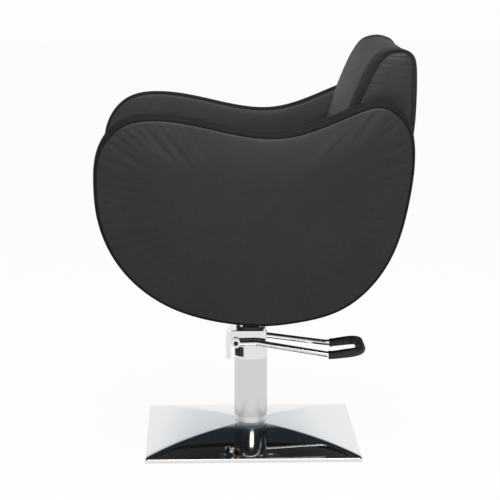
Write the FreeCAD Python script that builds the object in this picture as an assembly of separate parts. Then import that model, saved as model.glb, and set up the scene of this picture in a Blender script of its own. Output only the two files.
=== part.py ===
"""Styling chair on a hydraulic pump.

Millimetres, +Z up. The origin is on the column's axis at floor level, the chair faces -Y and the
sitter's left is +X. Profiles are drawn in the YZ plane and extruded along X.
"""
import FreeCAD, Part
import math
import os
from FreeCAD import Vector

# ---------------------------------------------------------------- driving dimensions
# base
BASE_SIDE = 500.0          # side of the square chrome cover
BASE_RIM = 10.0            # height of the cover's upright rim
BASE_CROWN = 38.0          # height of the cover at the column
COVER_SHEET = 1.5
COVER_LIFT = 0.8           # the rim clears the floor by this much
PLATE_THICK = 8.0
PLATE_MARGIN = 9.0         # the steel plate stops this far inside the cover's edge
FOOT_THICK = 2.0
FOOT_RADIUS = 20.0
FOOT_INSET = 45.0          # foot centre, in from the base's edge

# pump
STROKE = 120.0             # lift of the seat
FIXED_RADIUS = 36.25       # fixed guide tube
FIXED_WALL = 3.0
FIXED_TOP = 190.0
SLEEVE_RADIUS = 40.0       # bright outer sleeve, which rises with the seat
SLEEVE_WALL = 2.0
SLEEVE_BOTTOM = 52.5
HEAD_BOTTOM = 195.0        # joint between the sleeve and the pump head
COLLAR_TOP = 232.0         # round part of the head
HEAD_TOP = 264.0           # square part of the head
HEAD_DEPTH = 37.0          # half depth of the square part
HEAD_WIDTH = 38.0          # half width of the square part
RESERVOIR_RADIUS = 30.0
RESERVOIR_WALL = 2.5
RESERVOIR_BOTTOM = 30.0
CYLINDER_BORE = 15.0
CYLINDER_WALL = 2.0
ROD_RADIUS = 12.5
PISTON_LENGTH = 10.0
GLAND_LENGTH = 12.0
BUSH_LENGTH = 55.0
FLANGE_RADIUS = 60.0
FLANGE_THICK = 8.0
BALL_RADIUS = 6.0

# pedal lever
PIVOT_Y = -37.0
PIVOT_Z = 238.0
SHAFT_RADIUS = 6.0
ARM_SPREAD_HEAD = 50.0     # lever arm's centre line beside the head
ARM_SPREAD_PEDAL = 66.0    # lever arm's centre line at the pedal
LEVER_TUBE_RADIUS = 7.0
LEVER_TUBE_WALL = 2.0
LEVER_HUB_RADIUS = 11.0
LEVER_RUN_Y = 12.0         # where the arms leave the head
PEDAL_START_Y = 192.0
PEDAL_START_Z = 211.0
PEDAL_END_Y = 262.0
PEDAL_END_Z = 220.0
PEDAL_RUBBER_RADIUS = 10.5
CAM_ARM = 14.0             # cam nose behind the shaft
CAM_NOSE = 5.0
CAM_WIDTH = 12.0
PLUNGER_RADIUS = 6.0
PLUNGER_BOTTOM = 213.0
PLUNGER_PLAY = 0.3         # gap under the cam nose
PLUNGER_BORE_BOTTOM = 203.0
SPRING_WIRE = 0.8
SPRING_TURNS = 4
BLOCK_BACK_Y = -18.0       # black pump block in the collar's window
BLOCK_BOTTOM = 200.5
BLOCK_TOP = 224.5
GUARD_FRONT_Y = -60.0      # bright guard before the head
GUARD_DEPTH = 12.0
GUARD_HALF_WIDTH = 30.0
GUARD_SHEET = 1.5
GUARD_SHOULDER = 251.0     # where its top starts to slope back

# seat mounting
HUB_RADIUS = 35.0
MOUNT_PLATE_BOTTOM = 300.0
MOUNT_PLATE_THICK = 6.0
MOUNT_PLATE_SIDE = 150.0
MOUNT_BOLT_SPACING = 110.0
BOLT_RADIUS = 4.0

# upholstered body
INNER_WIDTH = 460.0        # between the arms
ARM_INNER_PAD = 20.0
ARM_BOARD = 28.0
ARM_OUTER_PAD = 22.0
ARM_BAND = 12.0            # edge band, in from the arm's outline
BODY_DEPTH = 720.0         # front of the arms to the rear
ARM_BOTTOM = 327.0
ARM_REAR_PEAK = 837.0
TUB_INSET = 14.0           # the seat's underside lies this far inside the arms' outline
TUB_COVER = 8.0
TUB_PLY = 12.0
BACK_TOP = 951.0
BACK_SIDE_PAD = 8.0
RAIL_WIDTH = 22.0
RAIL_BOTTOM = 395.0
RAIL_TOP = 455.0
RAIL_HALF_LENGTH = 190.0
ARM_BOLT_PITCH = 130.0
ARM_BOLT_Z = 430.0
ARM_BOLT_COUNT = 3

RUNNING = 0.05             # radial clearance of a running fit
SLIDING = 0.1              # radial clearance of the sleeve's wiper

# ---------------------------------------------------------------- worked-out sizes
HALF_BASE = BASE_SIDE / 2
PLATE_BOTTOM = FOOT_THICK
PLATE_TOP = PLATE_BOTTOM + PLATE_THICK
HALF_INNER = INNER_WIDTH / 2
ARM_BOARD_X = HALF_INNER + ARM_INNER_PAD
ARM_OUTER_X = ARM_BOARD_X + ARM_BOARD
ARM_FACE_X = ARM_OUTER_X + ARM_OUTER_PAD
HALF_DEPTH = BODY_DEPTH / 2
ARM_HEIGHT = ARM_REAR_PEAK - ARM_BOTTOM
TUB_INNER = TUB_COVER + TUB_PLY
CYLINDER_RADIUS = CYLINDER_BORE + CYLINDER_WALL
BALL_Z = PLATE_TOP + 2 + BALL_RADIUS
ROD_BOTTOM = BALL_Z + 1
ROD_TOP = FIXED_TOP - 2
MOUNT_PLATE_TOP = MOUNT_PLATE_BOTTOM + MOUNT_PLATE_THICK
FAR = 2000.0               # larger than the chair, for cutting shapes


# ---------------------------------------------------------------- shape helpers
def box(x0, x1, y0, y1, z0, z1):
    return Part.makeBox(x1 - x0, y1 - y0, z1 - z0, Vector(x0, y0, z0))


def rod(radius, z0, z1, x=0.0, y=0.0):
    """Upright cylinder."""
    return Part.makeCylinder(radius, z1 - z0, Vector(x, y, z0))


def tube(outer, inner, z0, z1):
    """Upright tube on the column's axis."""
    return rod(outer, z0, z1).cut(rod(inner, z0, z1))


def rod_x(radius, x0, x1, y, z):
    """Cylinder along X."""
    return Part.makeCylinder(radius, x1 - x0, Vector(x0, y, z), Vector(1, 0, 0))


def hexagon(radius, z0, z1, x, y):
    """Upright hexagonal bolt head; radius is to its corners."""
    corners = [Vector(x + radius * math.cos(math.radians(a)), y + radius * math.sin(math.radians(a)), z0)
               for a in range(0, 361, 60)]
    return Part.Face(Part.makePolygon(corners)).extrude(Vector(0, 0, z1 - z0))


def union(shapes):
    whole = shapes[0]
    for shape in shapes[1:]:
        whole = whole.fuse(shape)
    return whole.removeSplitter()


def slab(edges, x0, x1):
    """Closed YZ outline, drawn at x = 0, extruded from x0 to x1."""
    face = Part.Face(Part.Wire(edges))
    face.translate(Vector(x0, 0, 0))
    return face.extrude(Vector(x1 - x0, 0, 0))


def spline(points, closed=False):
    curve = Part.BSplineCurve()
    curve.interpolate(Points=[Vector(0, y, z) for y, z in points], PeriodicFlag=closed)
    return curve.toShape()


def lines(points):
    return [Part.makeLine(Vector(0, *a), Vector(0, *b)) for a, b in zip(points, points[1:])]


def inset_points(points, inset, closed):
    """Each point moved to the left of its direction of travel by inset."""
    moved = []
    last = len(points) - 1
    for i, (y, z) in enumerate(points):
        before = points[i - 1] if closed or i > 0 else points[i]
        after = points[(i + 1) % len(points)] if closed or i < last else points[i]
        dy, dz = after[0] - before[0], after[1] - before[1]
        length = math.hypot(dy, dz)
        moved.append((y - inset * dz / length, z + inset * dy / length))
    return moved


def tube_along(points, bends, radius, wall=0.0):
    """Round bar or tube along straight runs joined by tangent arcs of the given radii."""
    edges = []
    start = points[0]
    for i in range(1, len(points) - 1):
        here = points[i]
        back = (points[i - 1] - here).normalize()
        ahead = (points[i + 1] - here).normalize()
        half = back.getAngle(ahead) / 2
        cut = bends[i - 1] / math.tan(half)
        to_centre = (back + ahead).normalize()
        middle = here + to_centre * (bends[i - 1] / math.sin(half) - bends[i - 1])
        edges.append(Part.makeLine(start, here + back * cut))
        edges.append(Part.Arc(here + back * cut, middle, here + ahead * cut).toShape())
        start = here + ahead * cut
    edges.append(Part.makeLine(start, points[-1]))
    path = Part.Wire(edges)
    direction = points[1] - points[0]

    def swept(r):
        ring = Part.Wire(Part.makeCircle(r, points[0], direction))
        return path.makePipeShell([ring], True, False)

    return swept(radius).cut(swept(radius - wall)) if wall else swept(radius)


# ---------------------------------------------------------------- outlines of the upholstery
def arm_points():
    """Bean outline of an arm, from the bottom towards the front, as shares of its depth and height."""
    bean = [(0.02, 0.00), (-0.30, 0.03), (-0.56, 0.097), (-0.855, 0.28), (-0.985, 0.505), (-1.00, 0.635),
            (-0.962, 0.812), (-0.825, 0.919), (-0.635, 0.947), (-0.30, 0.915), (0.185, 0.870),
            (0.485, 0.935), (0.65, 0.983), (0.79, 1.00), (0.94, 0.93), (1.00, 0.77),
            (0.97, 0.56), (0.85, 0.29), (0.545, 0.07), (0.27, 0.014)]
    return [(HALF_DEPTH * a, ARM_BOTTOM + ARM_HEIGHT * b) for a, b in bean]


def arm_outline(inset):
    # the outline runs clockwise seen from +X, so its inside is on the right
    return [spline(inset_points(arm_points(), -inset, True), closed=True)]


def tub_points():
    """Outside of the seat's shell: front lip, under the seat, up the rear to the top of the back."""
    bean = inset_points(arm_points(), -TUB_INSET, True)
    under = [bean[3], bean[2], bean[1], bean[0], bean[19], bean[18], bean[17], bean[16]]
    rear_y = HALF_DEPTH
    lip = (bean[3][0] - 8, bean[3][1] + 34)
    rear = [(rear_y - 8, ARM_REAR_PEAK - 115), (rear_y - 1, ARM_REAR_PEAK - 30), (rear_y, BACK_TOP - 26)]
    return [lip] + under + rear


def tub_line(inset):
    # travels from the front, below the seat and up the rear, so its inside is on the left
    return inset_points(tub_points(), inset, False)


def inside_tub(inset, half_width):
    """Everything above and before the shell line at the given inset."""
    line = tub_line(inset)
    rear, front = line[-1], line[0]
    closing = lines([rear, (rear[0], FAR), (-FAR, FAR), (-FAR, front[1]), front])
    return slab([spline(line)] + closing, -half_width, half_width)


def shell_slab(inset_out, inset_in, half_width):
    """Bent sheet between two insets of the shell line."""
    outer, inner = tub_line(inset_out), tub_line(inset_in)
    ends = lines([outer[-1], inner[-1]]) + [spline(inner)] + lines([inner[0], outer[0]])
    return slab([spline(outer)] + ends, -half_width, half_width)


def back_region(half_width):
    """Space of the back: leaning front face, rounded top, everything behind."""
    top = BACK_TOP
    front = [(118, top - 451), (165, top - 291), (217, top - 130), (258, top - 38), (282, top - 9), (318, top)]
    crown = [(318, top), (348, top - 7), (HALF_DEPTH, top - 28)]
    behind = lines([crown[-1], (FAR, top - 28), (FAR, front[0][1]), front[0]])
    return slab([spline(front), spline(crown)] + behind, -half_width, half_width)


def seat_region(half_width):
    """Space of the seat cushion: crowned top, rounded nose, everything below."""
    lip = tub_points()[0]
    nose_y, top = lip[0], lip[1] + 14
    upper = [(nose_y, lip[1] - 2), (nose_y + 4, top - 6), (nose_y + 22, top + 2), (-160, top + 8),
             (20, top + 4), (160, top - 6), (240, top - 10)]
    below = lines([upper[-1], (240, 0), (nose_y, 0), upper[0]])
    return slab([spline(upper)] + below, -half_width, half_width)


# ---------------------------------------------------------------- base
def base_plate():
    side = HALF_BASE - PLATE_MARGIN
    plate = box(-side, side, -side, side, PLATE_BOTTOM, PLATE_TOP)
    return plate.cut(flange_bolts())


def base_feet():
    at = HALF_BASE - FOOT_INSET
    return [rod(FOOT_RADIUS, 0, FOOT_THICK, x, y) for x in (-at, at) for y in (-at, at)]


def pillow(drop, bottom):
    """Solid pillow: its height falls from the crown to the rim with the 2.6th power of the distance."""
    shares = (1.0, 0.92, 0.82, 0.68, 0.45, 0.16)
    rings = []
    for share in shares:
        half = share * (HALF_BASE - drop)
        z = BASE_RIM + (BASE_CROWN - BASE_RIM) * (1 - share ** 2.6) - drop
        rings.append(Part.makePolygon([Vector(x * half, y * half, z)
                                       for x, y in ((-1, -1), (1, -1), (1, 1), (-1, 1), (-1, -1))]))
    dome = Part.makeLoft(rings, True, True)
    half = HALF_BASE - drop
    return dome.fuse(box(-half, half, -half, half, bottom, BASE_RIM - drop)).removeSplitter()


def base_cover():
    shell = pillow(0, COVER_LIFT).cut(pillow(COVER_SHEET, COVER_LIFT))
    return shell.cut(rod(FIXED_RADIUS + 1, 0, 2 * BASE_CROWN))


def fixed_tube():
    return tube(FIXED_RADIUS, FIXED_RADIUS - FIXED_WALL, PLATE_TOP, FIXED_TOP)


def bolt_ring(radius, count, turn=45.0):
    """Places of bolts on a circle."""
    angles = [math.radians(turn + 360.0 * i / count) for i in range(count)]
    return [(radius * math.cos(a), radius * math.sin(a)) for a in angles]


FLANGE_BOLTS = bolt_ring((FIXED_RADIUS + FLANGE_RADIUS) / 2 + 1, 4)


def tube_flange():
    ring = tube(FLANGE_RADIUS, FIXED_RADIUS, PLATE_TOP, PLATE_TOP + FLANGE_THICK)
    return ring.cut(flange_bolts())


def flange_bolts():
    """Screws through the flange into the plate; their heads lie on the flange."""
    top = PLATE_TOP + FLANGE_THICK
    whole = [rod(BOLT_RADIUS, PLATE_BOTTOM + 1, top, x, y).fuse(hexagon(7.5, top, top + 5, x, y))
             for x, y in FLANGE_BOLTS]
    return Part.makeCompound(whole)


def bearing_cup():
    cup = rod(FIXED_RADIUS - FIXED_WALL, PLATE_TOP, BALL_Z)
    return cup.cut(thrust_ball())


def thrust_ball():
    return Part.makeSphere(BALL_RADIUS, Vector(0, 0, BALL_Z))


def guide_bush():
    return tube(FIXED_RADIUS - FIXED_WALL, RESERVOIR_RADIUS + RUNNING, FIXED_TOP - BUSH_LENGTH, FIXED_TOP)


# ---------------------------------------------------------------- ram: turns on the thrust ball
def ram_rod():
    bar = rod(ROD_RADIUS, ROD_BOTTOM, ROD_TOP)
    return bar.cut(Part.makeSphere(BALL_RADIUS + RUNNING, Vector(0, 0, BALL_Z)))


def piston():
    ring = tube(CYLINDER_BORE - RUNNING, ROD_RADIUS, ROD_TOP - PISTON_LENGTH, ROD_TOP)
    return ring.cut(piston_seal())


def piston_seal():
    middle = ROD_TOP - PISTON_LENGTH / 2
    return tube(CYLINDER_BORE - RUNNING, CYLINDER_BORE - 1.5, middle - 1.5, middle + 1.5)


# ---------------------------------------------------------------- pump unit: rises with the seat
def outer_sleeve():
    return tube(SLEEVE_RADIUS, SLEEVE_RADIUS - SLEEVE_WALL, SLEEVE_BOTTOM, HEAD_BOTTOM)


def sleeve_wiper():
    return tube(SLEEVE_RADIUS - SLEEVE_WALL, FIXED_RADIUS + SLIDING, SLEEVE_BOTTOM, SLEEVE_BOTTOM + 8)


def reservoir_tube():
    wall = tube(RESERVOIR_RADIUS, RESERVOIR_RADIUS - RESERVOIR_WALL, RESERVOIR_BOTTOM, HEAD_BOTTOM)
    floor = tube(RESERVOIR_RADIUS - RESERVOIR_WALL, CYLINDER_RADIUS, RESERVOIR_BOTTOM, RESERVOIR_BOTTOM + 6)
    return union([wall, floor])


def cylinder_tube():
    return tube(CYLINDER_RADIUS, CYLINDER_BORE, RESERVOIR_BOTTOM, HEAD_BOTTOM)


def rod_gland():
    return tube(CYLINDER_BORE, ROD_RADIUS + RUNNING, RESERVOIR_BOTTOM, RESERVOIR_BOTTOM + GLAND_LENGTH)


def pump_head():
    collar = rod(SLEEVE_RADIUS, HEAD_BOTTOM, COLLAR_TOP)
    front = PIVOT_Y - LEVER_HUB_RADIUS
    square = box(-HEAD_WIDTH, HEAD_WIDTH, front, HEAD_DEPTH, COLLAR_TOP, HEAD_TOP)
    upright = [e for e in square.Edges if abs(e.tangentAt(e.FirstParameter).z) > 0.99]
    square = square.makeFillet(6, upright)
    body = union([collar, square])
    window = box(-SLEEVE_RADIUS, SLEEVE_RADIUS, -SLEEVE_RADIUS, BLOCK_BACK_Y, BLOCK_BOTTOM, BLOCK_TOP)
    cam_slot = box(-CAM_WIDTH / 2 - 1.5, CAM_WIDTH / 2 + 1.5, front, PIVOT_Y + CAM_ARM + 9, BLOCK_TOP, HEAD_TOP - 6)
    rear_slot = box(-HEAD_WIDTH, HEAD_WIDTH, HEAD_DEPTH - 7, HEAD_DEPTH - 3, HEAD_TOP - 14, HEAD_TOP)
    shaft_hole = rod_x(SHAFT_RADIUS + 2, -HEAD_WIDTH, HEAD_WIDTH, PIVOT_Y, PIVOT_Z)
    plunger_hole = rod(PLUNGER_RADIUS + 0.5, BLOCK_BOTTOM, COLLAR_TOP, 0, PIVOT_Y + CAM_ARM)
    for cutter in (window, cam_slot, rear_slot, shaft_hole, plunger_hole):
        body = body.cut(cutter)
    return body.cut(Part.makeCompound(hub_bolts() + guard_screws()))


def shaft_bushes():
    """Two bushes, one each side of the cam."""
    ring = []
    for x0, x1 in ((-HEAD_WIDTH, -CAM_WIDTH / 2 - 1.5), (CAM_WIDTH / 2 + 1.5, HEAD_WIDTH)):
        outer = rod_x(SHAFT_RADIUS + 2, x0, x1, PIVOT_Y, PIVOT_Z)
        ring.append(outer.cut(rod_x(SHAFT_RADIUS + RUNNING, x0, x1, PIVOT_Y, PIVOT_Z)))
    return ring


def pump_block():
    block = rod(SLEEVE_RADIUS - 1.5, BLOCK_BOTTOM, BLOCK_TOP)
    block = block.common(box(-SLEEVE_RADIUS, SLEEVE_RADIUS, -SLEEVE_RADIUS, BLOCK_BACK_Y, BLOCK_BOTTOM, BLOCK_TOP))
    bore = rod(PLUNGER_RADIUS + RUNNING, PLUNGER_BORE_BOTTOM, BLOCK_TOP, 0, PIVOT_Y + CAM_ARM)
    return block.cut(bore)


def front_guard():
    """Bright sheet cover before the head, open at the rear."""
    def profile(front, back, bottom, shoulder, top):
        edges = lines([(front, bottom), (front, shoulder), (back, top), (back, bottom), (front, bottom)])
        return edges

    rear_y = PIVOT_Y - LEVER_HUB_RADIUS
    outer = slab(profile(GUARD_FRONT_Y, rear_y, HEAD_BOTTOM, GUARD_SHOULDER, HEAD_TOP + 3),
                 -GUARD_HALF_WIDTH, GUARD_HALF_WIDTH)
    inner = slab(profile(GUARD_FRONT_Y + GUARD_SHEET, rear_y, HEAD_BOTTOM, GUARD_SHOULDER - 1, HEAD_TOP + 3 - GUARD_SHEET),
                 -GUARD_HALF_WIDTH + GUARD_SHEET, GUARD_HALF_WIDTH - GUARD_SHEET)
    pad = box(-GUARD_HALF_WIDTH, GUARD_HALF_WIDTH, rear_y - 1.5, rear_y, PIVOT_Z + 8, HEAD_TOP)
    return union([outer.cut(inner), pad]).cut(Part.makeCompound(guard_screws()))


def guard_screws():
    """Two screws from the guard's rear flange into the head."""
    rear_y = PIVOT_Y - LEVER_HUB_RADIUS
    screws = []
    for x in (-20, 20):
        shank = Part.makeCylinder(2, 10, Vector(x, rear_y - 1.5, HEAD_TOP - 8), Vector(0, 1, 0))
        head = Part.makeCylinder(3.5, 2.5, Vector(x, rear_y - 4, HEAD_TOP - 8), Vector(0, 1, 0))
        screws.append(shank.fuse(head))
    return screws


def seat_hub():
    """Black turned hub between the head and the mounting plate."""
    stem = rod(HUB_RADIUS, HEAD_TOP, HEAD_TOP + 8).fuse(rod(HUB_RADIUS - 9, HEAD_TOP, MOUNT_PLATE_BOTTOM - 8))
    flare = Part.makeCone(HUB_RADIUS - 9, HUB_RADIUS + 5, 8, Vector(0, 0, MOUNT_PLATE_BOTTOM - 8))
    hub = union([stem, flare])
    return hub.cut(Part.makeCompound(hub_bolts()))


def hub_bolts():
    """Four socket screws through the hub's foot into the head."""
    whole = []
    for x, y in bolt_ring(HUB_RADIUS - 4.5, 4):
        foot = HEAD_TOP + 8
        whole.append(rod(2.5, HEAD_TOP - 5, foot, x, y).fuse(rod(4, foot, foot + 5, x, y)))
    return whole


def mount_plate():
    half = MOUNT_PLATE_SIDE / 2
    plate = box(-half, half, -half, half, MOUNT_PLATE_BOTTOM, MOUNT_PLATE_TOP)
    upright = [e for e in plate.Edges if abs(e.tangentAt(e.FirstParameter).z) > 0.99]
    plate = plate.makeFillet(12, upright)
    return plate.cut(Part.makeCompound(mount_bolts()))


# ---------------------------------------------------------------- pedal lever
def lever_frame():
    a, b = ARM_SPREAD_HEAD, ARM_SPREAD_PEDAL
    half = [Vector(a, PIVOT_Y + LEVER_HUB_RADIUS - 4, PIVOT_Z), Vector(a, LEVER_RUN_Y, PIVOT_Z + 1),
            Vector(b, PEDAL_START_Y, PEDAL_START_Z), Vector(b, PEDAL_END_Y, PEDAL_END_Z)]
    other = [Vector(-p.x, p.y, p.z) for p in reversed(half)]
    bends = [60, 120, 26, 26, 120, 60]
    bow = tube_along(half + other, bends, LEVER_TUBE_RADIUS, LEVER_TUBE_WALL)
    hubs = [rod_x(LEVER_HUB_RADIUS, x0, x0 + 14, PIVOT_Y, PIVOT_Z) for x0 in (-a - 7, a - 7)]
    frame = union([bow] + hubs)
    bore = rod_x(SHAFT_RADIUS, -a - 7, a + 7, PIVOT_Y, PIVOT_Z)
    return frame.cut(bore).cut(Part.makeCompound(shaft_screws()))


def pivot_shaft():
    reach = ARM_SPREAD_HEAD + 3
    shaft = rod_x(SHAFT_RADIUS, -reach, reach, PIVOT_Y, PIVOT_Z)
    return shaft.cut(Part.makeCompound(shaft_screws()))


def shaft_screws():
    """A socket screw in each end of the shaft, its head sunk in the hub."""
    reach = ARM_SPREAD_HEAD + 3
    screws = []
    for side in (-1, 1):
        shank = Part.makeCylinder(2.5, 12, Vector(side * reach, PIVOT_Y, PIVOT_Z), Vector(-side, 0, 0))
        head = Part.makeCylinder(5, 3.5, Vector(side * reach, PIVOT_Y, PIVOT_Z), Vector(side, 0, 0))
        socket = Part.makeCylinder(2.5, 2.5, Vector(side * (reach + 3.5), PIVOT_Y, PIVOT_Z), Vector(-side, 0, 0))
        screws.append(shank.fuse(head).cut(socket))
    return screws


def cam():
    half = CAM_WIDTH / 2
    ring = rod_x(SHAFT_RADIUS + 3, -half, half, PIVOT_Y, PIVOT_Z)
    nose = rod_x(CAM_NOSE, -half, half, PIVOT_Y + CAM_ARM, PIVOT_Z)
    web = box(-half, half, PIVOT_Y, PIVOT_Y + CAM_ARM, PIVOT_Z - CAM_NOSE, PIVOT_Z + CAM_NOSE)
    return union([ring, nose, web]).cut(rod_x(SHAFT_RADIUS, -half, half, PIVOT_Y, PIVOT_Z))


def pedal_rubber():
    b = ARM_SPREAD_PEDAL
    start = Vector(b, PEDAL_START_Y, PEDAL_START_Z)
    end = Vector(b, PEDAL_END_Y, PEDAL_END_Z)
    first = start + (end - start) * 0.06
    path = [first, end, Vector(-b, end.y, end.z), Vector(-b, first.y, first.z)]
    return tube_along(path, [26, 26], PEDAL_RUBBER_RADIUS, PEDAL_RUBBER_RADIUS - LEVER_TUBE_RADIUS)


# ---------------------------------------------------------------- plunger under the cam
def plunger():
    top = PIVOT_Z - CAM_NOSE - PLUNGER_PLAY
    return rod(PLUNGER_RADIUS, PLUNGER_BOTTOM, top, 0, PIVOT_Y + CAM_ARM)


def plunger_spring():
    length = PLUNGER_BOTTOM - PLUNGER_BORE_BOTTOM - 2 * SPRING_WIRE
    radius = PLUNGER_RADIUS - 1.5
    helix = Part.makeHelix(length / SPRING_TURNS, length, radius)
    helix.translate(Vector(0, PIVOT_Y + CAM_ARM, PLUNGER_BORE_BOTTOM + SPRING_WIRE))
    start = Vector(radius, PIVOT_Y + CAM_ARM, PLUNGER_BORE_BOTTOM + SPRING_WIRE)
    ring = Part.Wire(Part.makeCircle(SPRING_WIRE, start, Vector(0, 1, 0)))
    return Part.Wire(helix).makePipeShell([ring], True, True)


# ---------------------------------------------------------------- seat body
def mount_places():
    half = MOUNT_BOLT_SPACING / 2
    return [(x, y) for x in (-half, half) for y in (-half, half)]


def mount_bolts():
    nut_top = mount_nut_z() + 2
    return [rod(BOLT_RADIUS, MOUNT_PLATE_BOTTOM, nut_top, x, y).fuse(
        hexagon(7.5, MOUNT_PLATE_BOTTOM - 5.3, MOUNT_PLATE_BOTTOM, x, y)) for x, y in mount_places()]


def mount_nut_z():
    """Underside of the nuts' flanges, just inside the shell."""
    bottom_y, bottom_z = tub_points()[4]
    return bottom_z + TUB_INNER + 5


def mount_nuts():
    z = mount_nut_z()
    nuts = []
    for x, y in mount_places():
        barrel = rod(BOLT_RADIUS + 1.5, z - 12, z, x, y).fuse(rod(BOLT_RADIUS + 6, z, z + 2, x, y))
        nuts.append(barrel.cut(rod(BOLT_RADIUS, z - 12, z + 2, x, y)))
    return nuts


def mount_holes():
    """Room for the bolts and nuts through the block and the shell."""
    z = mount_nut_z()
    return Part.makeCompound([rod(BOLT_RADIUS, MOUNT_PLATE_BOTTOM, z, x, y).fuse(
        rod(BOLT_RADIUS + 1.5, z - 12, z, x, y)).fuse(rod(BOLT_RADIUS + 6, z, z + 2, x, y))
        for x, y in mount_places()])


def seat_block():
    """Hardwood block, flat below, shaped to the shell above."""
    half = MOUNT_PLATE_SIDE / 2
    block = box(-half, half, -half, half, MOUNT_PLATE_TOP, MOUNT_PLATE_TOP + 100)
    return block.cut(inside_tub(TUB_COVER, half + 1)).cut(mount_holes())


def seat_shell():
    """Bent plywood under the seat and behind the back."""
    return shell_slab(TUB_COVER, TUB_INNER, HALF_INNER - BACK_SIDE_PAD).cut(mount_holes())


def split_at(shape, z, keep_above):
    """Part of a shape's rear above z, or all the rest of it."""
    rear = box(-FAR, FAR, 0, FAR, z, FAR)
    return shape.common(rear) if keep_above else shape.cut(rear)


def cover_seam_z():
    """Seam between the underside cover and the rear cover."""
    return tub_points()[7][1]


def under_cover():
    half = MOUNT_PLATE_SIDE / 2
    skin = shell_slab(0, TUB_COVER, HALF_INNER)
    skin = split_at(skin, cover_seam_z(), keep_above=False)
    return skin.cut(box(-half, half, -half, half, 0, MOUNT_PLATE_TOP + 100))


def back_cover():
    skin = shell_slab(0, TUB_COVER, HALF_INNER - BACK_SIDE_PAD)
    return split_at(skin, cover_seam_z(), keep_above=True)


def side_rail(side):
    """Hardwood rail that carries an arm; it bears against the arm's board."""
    rail = box(HALF_INNER - RAIL_WIDTH, ARM_BOARD_X, -RAIL_HALF_LENGTH, RAIL_HALF_LENGTH, RAIL_BOTTOM, RAIL_TOP)
    inside = inside_tub(TUB_INNER, ARM_BOARD_X)
    return mirrored(rail.common(inside).cut(Part.makeCompound(arm_bolts(1))), side)


def seat_cushion():
    room = seat_region(HALF_INNER).common(inside_tub(TUB_INNER, HALF_INNER)).cut(back_region(HALF_INNER + 1))
    rails = box(HALF_INNER - RAIL_WIDTH, HALF_INNER, -RAIL_HALF_LENGTH, RAIL_HALF_LENGTH, 0, RAIL_TOP)
    room = room.cut(rails).cut(mirrored(rails, -1))
    return room.cut(Part.makeCompound(arm_bolts(1) + arm_bolts(-1))).cut(mount_holes())


def back_body(half_width):
    return back_region(half_width).common(inside_tub(0, half_width))


def back_cushion():
    half = HALF_INNER - BACK_SIDE_PAD
    return back_body(half).cut(shell_slab(0, TUB_INNER, half + 1))


def back_side(side):
    """Padded side of the back."""
    outer = back_body(HALF_INNER)
    keep = box(HALF_INNER - BACK_SIDE_PAD, HALF_INNER, -FAR, FAR, cover_seam_z(), FAR)
    return mirrored(outer.common(keep), side)


# ---------------------------------------------------------------- arms
def mirrored(shape, side):
    return shape if side > 0 else shape.mirror(Vector(0, 0, 0), Vector(1, 0, 0))


def arm_bolt_places():
    first = -ARM_BOLT_PITCH * (ARM_BOLT_COUNT - 1) / 2
    return [first + i * ARM_BOLT_PITCH for i in range(ARM_BOLT_COUNT)]


def arm_bolts(side):
    inner = HALF_INNER - RAIL_WIDTH
    bolts = []
    for y in arm_bolt_places():
        bolt = rod_x(BOLT_RADIUS, inner, ARM_OUTER_X - 2, y, ARM_BOLT_Z)
        bolts.append(mirrored(bolt.fuse(rod_x(BOLT_RADIUS + 5, inner - 4, inner, y, ARM_BOLT_Z)), side))
    return bolts


def arm_nuts(side):
    nuts = []
    for y in arm_bolt_places():
        barrel = rod_x(BOLT_RADIUS + 1.5, ARM_OUTER_X - 16, ARM_OUTER_X - 2, y, ARM_BOLT_Z)
        flange = rod_x(BOLT_RADIUS + 6, ARM_OUTER_X - 2, ARM_OUTER_X, y, ARM_BOLT_Z)
        bore = rod_x(BOLT_RADIUS, ARM_OUTER_X - 16, ARM_OUTER_X - 2, y, ARM_BOLT_Z)
        nuts.append(mirrored(barrel.fuse(flange).cut(bore), side))
    return nuts


def arm_board(side):
    board = slab(arm_outline(ARM_BAND), ARM_BOARD_X, ARM_OUTER_X)
    return mirrored(board.cut(Part.makeCompound(arm_bolts(1) + arm_nuts(1))), side)


def arm_outer_pad(side):
    return mirrored(slab(arm_outline(ARM_BAND), ARM_OUTER_X, ARM_FACE_X), side)


def arm_inner_pad(side):
    pad = slab(arm_outline(ARM_BAND), HALF_INNER, ARM_BOARD_X)
    rail = box(HALF_INNER, ARM_BOARD_X, -RAIL_HALF_LENGTH, RAIL_HALF_LENGTH, RAIL_BOTTOM, RAIL_TOP)
    return mirrored(pad.cut(rail.common(inside_tub(TUB_INNER, ARM_BOARD_X))), side)


def arm_band(side):
    ring = slab(arm_outline(0), HALF_INNER, ARM_FACE_X)
    return mirrored(ring.cut(slab(arm_outline(ARM_BAND), HALF_INNER - 1, ARM_FACE_X + 1)), side)


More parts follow.
